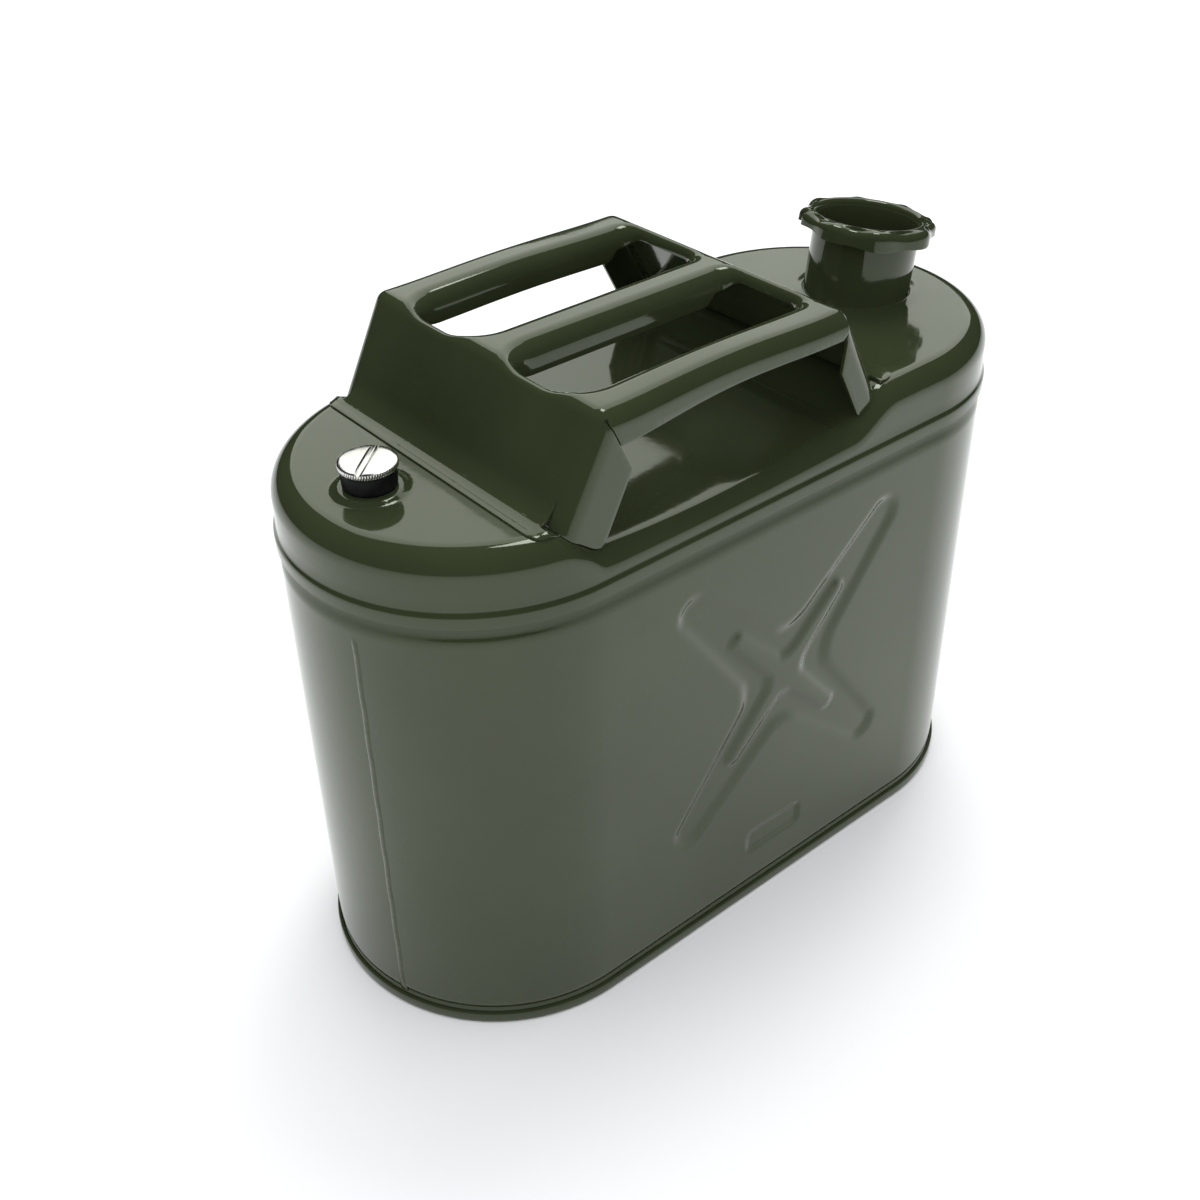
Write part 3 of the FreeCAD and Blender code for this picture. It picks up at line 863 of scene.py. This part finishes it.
def pattern_lines():
    """Grid lines of the flat pattern, closer together at the bends."""
    lines_s = set()
    for low, high in TRACK.marks:
        for k in range(9):
            lines_s.add(round(low + (high - low) * k / 8, 4))
    s = 0.0
    while s < TRACK.length:
        if not any(low - 0.8 < s < high + 0.8 for low, high in TRACK.marks):
            lines_s.add(round(s, 4))
        s += 2.4
    lines_v = [0.0]
    v = 2.5
    while v < FLAT_Y - 0.5:
        lines_v.append(v)
        v += 2.5
    for k in range(13):
        lines_v.append(FLAT_Y + ARC * k / 12)
    lines_v += [FLAT_Y + ARC + k for k in (1.5, 3.5, 5.5, 7.5, 9.5)]
    return sorted(lines_s), sorted(set(lines_v + [-v for v in lines_v]))


def inside(point, polygon):
    """Whether a point lies in a closed polygon, by counting crossings."""
    x, y = point
    x0, y0 = polygon[:, 0], polygon[:, 1]
    x1, y1 = np.roll(x0, -1), np.roll(y0, -1)
    crosses = (y0 > y) != (y1 > y)
    with np.errstate(divide="ignore", invalid="ignore"):
        at = (x1 - x0) * (y - y0) / (y1 - y0) + x0
    return (np.sum(crosses & (x < at)) % 2) == 1


def gap_to(point, polygon):
    """Distance from a point to the polygon's nearest corner."""
    return np.min(np.hypot(polygon[:, 0] - point[0], polygon[:, 1] - point[1]))


def build_handle():
    """Meshes the flat pattern, leaves the slots open and folds it all up."""
    outline = loop_points(handle_outline(), 0.9)
    verts, faces, loops = [], [], [outline]
    slots, laps = [], []
    for side in (-1, 1):
        rings, (slot, lap) = slot_rim(side)
        start = len(verts)
        for ring in rings:
            verts += ring
        faces += [tuple(start + k for k in f) for f in grid_faces(len(rings), len(slot), True)]
        slots.append(np.array(slot))
        laps.append(np.array(lap))
        loops += [slot, lap]
    edge = np.array(outline)
    lines_s, lines_v = pattern_lines()
    fill = []
    for s in lines_s:
        for v in lines_v:
            spot = (s, v)
            if not inside(spot, edge) or gap_to(spot, edge) < 0.5:
                continue
            if any(inside(spot, lap) or gap_to(spot, lap) < 0.7 for lap in laps):
                continue
            fill.append(spot)
    plane, links = [], []
    for loop in loops:
        base = len(plane)
        plane += loop
        links += [(base + i, base + (i + 1) % len(loop)) for i in range(len(loop))]
    made = delaunay_2d_cdt([Vector(p) for p in plane + fill], links, [], 0, 1e-5)
    flat, triangles = made[0], made[2]
    base = len(verts)
    verts += [fold(p.x, p.y) for p in flat]
    for tri in triangles:
        centre = (sum(flat[k].x for k in tri) / 3, sum(flat[k].y for k in tri) / 3)
        if inside(centre, edge) and not any(inside(centre, slot) for slot in slots):
            faces.append(tuple(base + k for k in tri))
    obj = make("handle_pressing", verts, faces)
    flip_if(obj, (-18, 0, HANDLE_TOP), (0, 0, 1))
    thicken(obj, PLATE)
    soften(obj, 0.22, 2, 55)
    bake(obj, 50)
    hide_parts("handle")
    paint(obj, OLIVE)


def build_handle_welds():
    """Low round spot-weld marks on the two feet."""
    low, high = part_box("handle_welds")
    radius, sides = 2.2, 28
    left, right = low.x / MM + radius, high.x / MM - radius
    spots = [(left, y) for y in (-42.0, -14.0, 14.0, 42.0)] + [(right, y) for y in (-40.0, 0.0, 40.0)]
    runs = [TRACK.at(TRACK.length * i / 900)[0] for i in range(901)]
    verts, faces = [], []
    for x, y in spots:
        base = len(verts)
        rings = [(2.4, -0.04), (radius, 0.0), (1.9, 0.025), (1.4, 0.02), (0.9, 0.01), (0.3, 0.005)]
        for r, z in rings:
            for j in range(sides):
                a = 2 * math.pi * j / sides
                at_x = x + r * math.cos(a)
                foot = min(runs, key=lambda p: abs(p.x - at_x) + max(0.0, p.y - FOOT_Z - 6.0))
                verts.append((at_x, y + r * math.sin(a), foot.y + z))
        faces += [tuple(base + k for k in f) for f in grid_faces(len(rings), sides, True)]
        faces.append(tuple(base + sides * (len(rings) - 1) + j for j in range(sides)))
    obj = make("spot_welds", verts, faces)
    flip_if(obj, (left, -42.0, FOOT_Z), (0, 0, 1))
    bake(obj, 70)
    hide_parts("handle_welds")
    paint(obj, OLIVE)


# ----------------------------------------------------------------- filler neck
NECK_BORE = 17.5
NECK_R = 18.5
COLLAR_R = 23.3             # mean reach of the collar's lobes
COLLAR_TURN = math.radians(-39.0)


def lean(obj):
    """Tilts a neck piece about the neck's foot towards the spout end."""
    foot = Vector((NECK_X, 0.0, LID_TOP)) * MM
    tilt = Matrix.Rotation(NECK_LEAN, 4, "Y")
    obj.data.transform(Matrix.Translation(foot) @ tilt @ Matrix.Translation(-foot))


def collar_reach(a):
    """Outer radius of the collar: eight soft lobes."""
    wave = math.cos(8 * (a - COLLAR_TURN))
    return COLLAR_R + 0.82 * wave + 0.10 * math.sin(3 * a + 0.6)


def notch_depth(a):
    """1 in the middle of either cap notch, 0 away from it."""
    off = (a - COLLAR_TURN + math.pi / 2) % math.pi - math.pi / 2
    return float(ease((0.13 - abs(off)) / 0.08))


def collar_point(kind, p, a):
    """Radius and height on the collar's outer skin at bearing a."""
    reach = collar_reach(a)
    notch = notch_depth(a)
    lobe = math.cos(8 * (a - COLLAR_TURN))
    dip = 0.5 - 0.42 * lobe
    if kind == "in":
        return 17.75 + 2.1 * (1 - math.cos(p)), NECK_TOP - 2.1 * (1 - math.sin(p))
    pull = 2.0 * notch
    if kind == "top":
        return 19.85 + (reach - 2.5 - 19.85) * p - pull * p, NECK_TOP - dip * p ** 2 - 0.6 * notch * p
    top = NECK_TOP - dip - 0.6 * notch
    if kind == "bend":
        return reach - 2.5 + 2.5 * math.sin(p) - pull, top - 2.7 * (1 - math.cos(p))
    low = NECK_TOP - 4.7 - 1.75 * math.sin(a - COLLAR_TURN) ** 2 - 0.2 * lobe
    return reach + 0.1 * p - pull, top - 2.7 + (low - top + 2.7) * p


def build_neck_tube():
    heights = (184.5, 190, 200, 208)
    tube = [(NECK_BORE, z) for z in heights]
    tube += [(NECK_BORE, NECK_TOP - 2.6), (NECK_BORE + 0.15, NECK_TOP - 2.0),
             (NECK_BORE + 0.5, NECK_TOP - 1.7), (NECK_R, NECK_TOP - 1.7)]
    tube += [(NECK_R, z) for z in reversed(heights)]
    obj = lathe("neck_pipe", tube, x=NECK_X, steps=128)
    flip_if(obj, (NECK_X - NECK_R, 0, 200), (-1, 0, 0))
    bake(obj)
    lean(obj)
    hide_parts("neck_tube")
    paint(obj, OLIVE)


def build_neck_collar():
    steps = 288
    levels = [("in", 0.5 * math.pi * i / 7) for i in range(8)]
    levels += [("top", t) for t in (0.3, 0.65, 1.0)]
    levels += [("bend", 0.5 * math.pi * i / 8) for i in range(1, 9)]
    levels += [("skirt", t) for t in (0.25, 0.5, 0.75, 1.0)]
    verts = []
    for kind, p in levels:
        for j in range(steps):
            a = 2 * math.pi * j / steps
            r, z = collar_point(kind, p, a)
            verts.append((NECK_X + r * math.cos(a), r * math.sin(a), z))
    collar = make("neck_collar_pressing", verts, grid_faces(len(levels), steps, True))
    flip_if(collar, (NECK_X - 20.5, 0, NECK_TOP), (0, 0, 1))
    thicken(collar, 1.1)
    soften(collar, 0.25, 3, 60)
    bake(collar, 55)
    lean(collar)
    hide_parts("neck_collar")
    paint(collar, OLIVE)


def build_neck_weld():
    """Weld fillet around the neck's foot, level with the lid and slightly uneven."""
    foot = [(18.3, LID_TOP - 0.4)]
    for i in range(7):
        t = 0.5 * math.pi * i / 6
        foot.append((19.4 - 0.8 * math.sin(t), LID_TOP + 0.28 + 0.4 * (1 - math.cos(t))))
    foot.append((18.3, LID_TOP + 0.72))

    def uneven(i, r, z, a):
        shift = 0.18 * math.cos(a) ** 2
        if 0 < i < 8:
            shift += 0.05 * math.sin(11 * a) + 0.03 * math.sin(23 * a + 1)
        return r + shift, z

    ring = lathe("neck_weld_bead", foot, x=NECK_X, steps=160, radial=uneven)
    flip_if(ring, (NECK_X - 19.5, 0, LID_TOP + 0.5), (-0.7, 0, 0.7))
    bake(ring, 60)
    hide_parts("neck_weld")
    paint(ring, OLIVE)


# ------------------------------------------------------------------------ vent
SCREW_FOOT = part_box("vent_screw")[0].z / MM
HEAD_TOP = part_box("vent_screw")[1].z / MM
HEAD_LOW = HEAD_TOP - 2.4
HEAD_R = 8.8
SHANK_R = 3.0
ROOT_R = 2.68               # bottom of the thread
COIN_SLOT = (1.6, 0.75)     # radius of the slot's cutter, and its height above the head
SLOT_TURN = math.radians(-50)


def build_vent_bush():
    top = LID_TOP + 0.4
    bush = [(3.06, top - 7.0), (3.06, LID_TOP + 1.0), (3.4, LID_TOP + 1.15), (4.3, LID_TOP + 1.1),
            (4.35, top + 0.02), (7.6, top - 0.05), (8.0, top - 0.5), (8.0, top - 6.6),
            (7.6, top - 7.0)]
    obj = lathe("vent_bush_turned", bush, x=VENT_X, steps=72)
    flip_if(obj, (VENT_X - 8, 0, top - 3), (-1, 0, 0))
    bake(obj)
    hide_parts("vent_bush")
    paint(obj, STEEL)


def build_vent_washer():
    z0, z1 = WASHER_Z[0] - 0.25, WASHER_Z[1] + 0.25
    middle = 0.5 * (z0 + z1)
    seal = [(3.5, z0 + 0.3), (3.8, z0), (7.3, z0), (7.8, z0 + 0.15), (8.0, z0 + 0.6),
            (8.08, z0 + 1.4), (8.14, middle), (8.08, z1 - 1.4), (8.0, z1 - 0.6),
            (7.8, z1 - 0.15), (7.3, z1), (3.8, z1), (3.5, z1 - 0.3)]
    obj = lathe("vent_seal_ring", seal, x=VENT_X, steps=96, body="vent_seal")
    flip_if(obj, (VENT_X - 8.2, 0, middle), (-1, 0, 0))
    bake(obj, 60)
    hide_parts("vent_washer")
    paint(obj, BLACK)


def vent_head():
    """Domed head with a knurled rim."""
    rim_low, rim_high = HEAD_LOW + 0.25, HEAD_LOW + 1.85
    profile = [(SHANK_R, HEAD_LOW), (6.5, HEAD_LOW), (HEAD_R - 0.55, HEAD_LOW + 0.02),
               (HEAD_R - 0.2, rim_low)]
    knurl_row = len(profile)
    profile += [(HEAD_R, rim_low + 0.12), (HEAD_R, rim_high - 0.12)]
    profile += [(HEAD_R - 0.22, rim_high), (HEAD_R - 0.5, rim_high + 0.12),
                (HEAD_R - 1.3, rim_high + 0.25), (HEAD_R - 2.6, HEAD_TOP - 0.12),
                (4.6, HEAD_TOP - 0.03), (2.6, HEAD_TOP), (1.0, HEAD_TOP), (0.0, HEAD_TOP)]

    def knurl(i, r, z, a):
        if i in (knurl_row, knurl_row + 1):
            r = HEAD_R - 0.34 * (1 - abs(math.sin(35 * a))) ** 1.3
        return r, z

    head = lathe("vent_head", profile, x=VENT_X, steps=420, body="vent_stem",
                 closed=False, radial=knurl)
    flip_if(head, (VENT_X, 4.0, HEAD_TOP), (0, 0, 1))
    return head


def vent_shank():
    """Threaded shank, with its turns as rings one millimetre apart."""
    z = HEAD_LOW - 3.0
    shank = [(SHANK_R, HEAD_LOW), (SHANK_R, z)]
    while z > SCREW_FOOT + 1.2:
        shank += [(SHANK_R, z), (ROOT_R, z - 0.25), (ROOT_R, z - 0.5), (SHANK_R, z - 0.75)]
        z -= 1.0
    shank += [(2.9, z), (2.4, SCREW_FOOT), (0.0, SCREW_FOOT)]
    stem = lathe("vent_shank", shank, x=VENT_X, steps=48, body="vent_stem",
                 closed=False)
    flip_if(stem, (VENT_X - 3, 0, HEAD_LOW - 1.5), (-1, 0, 0))
    return stem


def build_vent_screw():
    head = vent_head()
    stem = vent_shank()
    joined = bmesh.new()
    joined.from_mesh(head.data)
    joined.from_mesh(stem.data)
    bmesh.ops.remove_doubles(joined, verts=joined.verts, dist=1e-6)
    joined.to_mesh(head.data)
    joined.free()
    bpy.data.objects.remove(stem)
    radius, above = COIN_SLOT
    place = Matrix.Translation(Vector((VENT_X, 0, HEAD_TOP + above)) * MM)
    lying = Matrix.Rotation(SLOT_TURN, 4, "Z") @ Matrix.Rotation(math.pi / 2, 4, "X")
    carve(head, rod(radius, 30, place @ lying, 40))
    soften(head, 0.08, 2, 45)
    bake(head, 42)
    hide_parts("vent_screw")
    paint(head, PLATED)


build_body()
build_side_weld()
build_base()
build_lid()
build_handle()
build_handle_welds()
build_neck_tube()
build_neck_collar()
build_neck_weld()
build_vent_bush()
build_vent_washer()
build_vent_screw()


# ------------------------------------------------------------- studio and view
def backdrop_material(name, colour, rough):
    """Matt pale surface with a barely visible change of tone."""
    s = Shade(name)
    tone = s.ramp(s.noise(3.0, 2.0), [(0.3, tuple(0.985 * c for c in colour)), (0.7, colour)])
    s.set(Base_Color=tone, Roughness=rough, Specular_IOR_Level=0.15)
    return s.material


floor_mesh = bpy.data.meshes.new("studio_floor")
floor_work = bmesh.new()
bmesh.ops.create_grid(floor_work, x_segments=4, y_segments=4, size=12.0)
floor_work.to_mesh(floor_mesh)
floor_work.free()
floor = put("studio_floor", floor_mesh)
floor.location = (0.0, 0.0, -0.0002)
floor_mesh.materials.append(backdrop_material("floor_white", (0.86, 0.86, 0.86), 0.6))


def softbox(name, bearing, elevation, reach, size, radiance, seen=True):
    """Area light at a bearing in degrees (from +Y towards +X), aimed at the can."""
    az, el = math.radians(bearing), math.radians(elevation)
    aim = Vector((0.0, 0.0, 0.2))
    away = Vector((math.sin(az) * math.cos(el), math.cos(az) * math.cos(el), math.sin(el)))
    data = bpy.data.lights.new(name, "AREA")
    data.shape = "RECTANGLE"
    data.size, data.size_y = size
    data.energy = radiance * math.pi * size[0] * size[1]
    lamp = put(name, data)
    lamp.location = aim + away * reach
    lamp.rotation_euler = (-away).to_track_quat("-Z", "Y").to_euler()
    lamp.visible_glossy = seen
    return lamp


panel = softbox("back_panel", 42, 40, 1.7, (1.7, 1.3), 1.6)
panel.data.color = (0.98, 1.0, 0.95)
softbox("key_box", 60, 68, 1.5, (0.42, 0.42), 9.0)
softbox("overhead_fill", 0, 90, 1.9, (2.6, 2.6), 0.62, seen=False)
softbox("front_fill", 215, 50, 1.9, (1.8, 1.8), 0.5, seen=False)

world = bpy.data.worlds.new("studio")
bpy.context.scene.world = world
world.use_nodes = True
background = world.node_tree.nodes["Background"]
background.inputs["Color"].default_value = (0.95, 0.97, 1.0, 1)
background.inputs["Strength"].default_value = 0.95
world.cycles_visibility.glossy = False


def camera_from(azimuth, elevation, roll, distance, target, lens):
    """Camera in front of -Y, turned by azimuth towards +X and raised by elevation."""
    az, el, ro = (math.radians(v) for v in (azimuth, elevation, roll))
    back = Vector((math.sin(az) * math.cos(el), -math.cos(az) * math.cos(el), math.sin(el)))
    right = (-back).cross(Vector((0, 0, 1))).normalized()
    up = right.cross(-back)
    x_axis = math.cos(ro) * right + math.sin(ro) * up
    y_axis = -math.sin(ro) * right + math.cos(ro) * up
    place = Vector(target) + back * distance
    data = bpy.data.cameras.new("view_camera")
    data.lens = lens
    data.sensor_width = 36.0
    data.clip_start = 0.01
    cam = put("view_camera", data)
    axes = Matrix((x_axis, y_axis, back)).transposed().to_4x4()
    cam.matrix_world = Matrix.Translation(place) @ axes
    bpy.context.scene.camera = cam


camera_from(azimuth=-39.41, elevation=35.66, roll=-1.25, distance=0.50895,
            target=(-0.02509, 0.0, 0.10827), lens=44.35)
bpy.context.scene.view_settings.view_transform = "Standard"
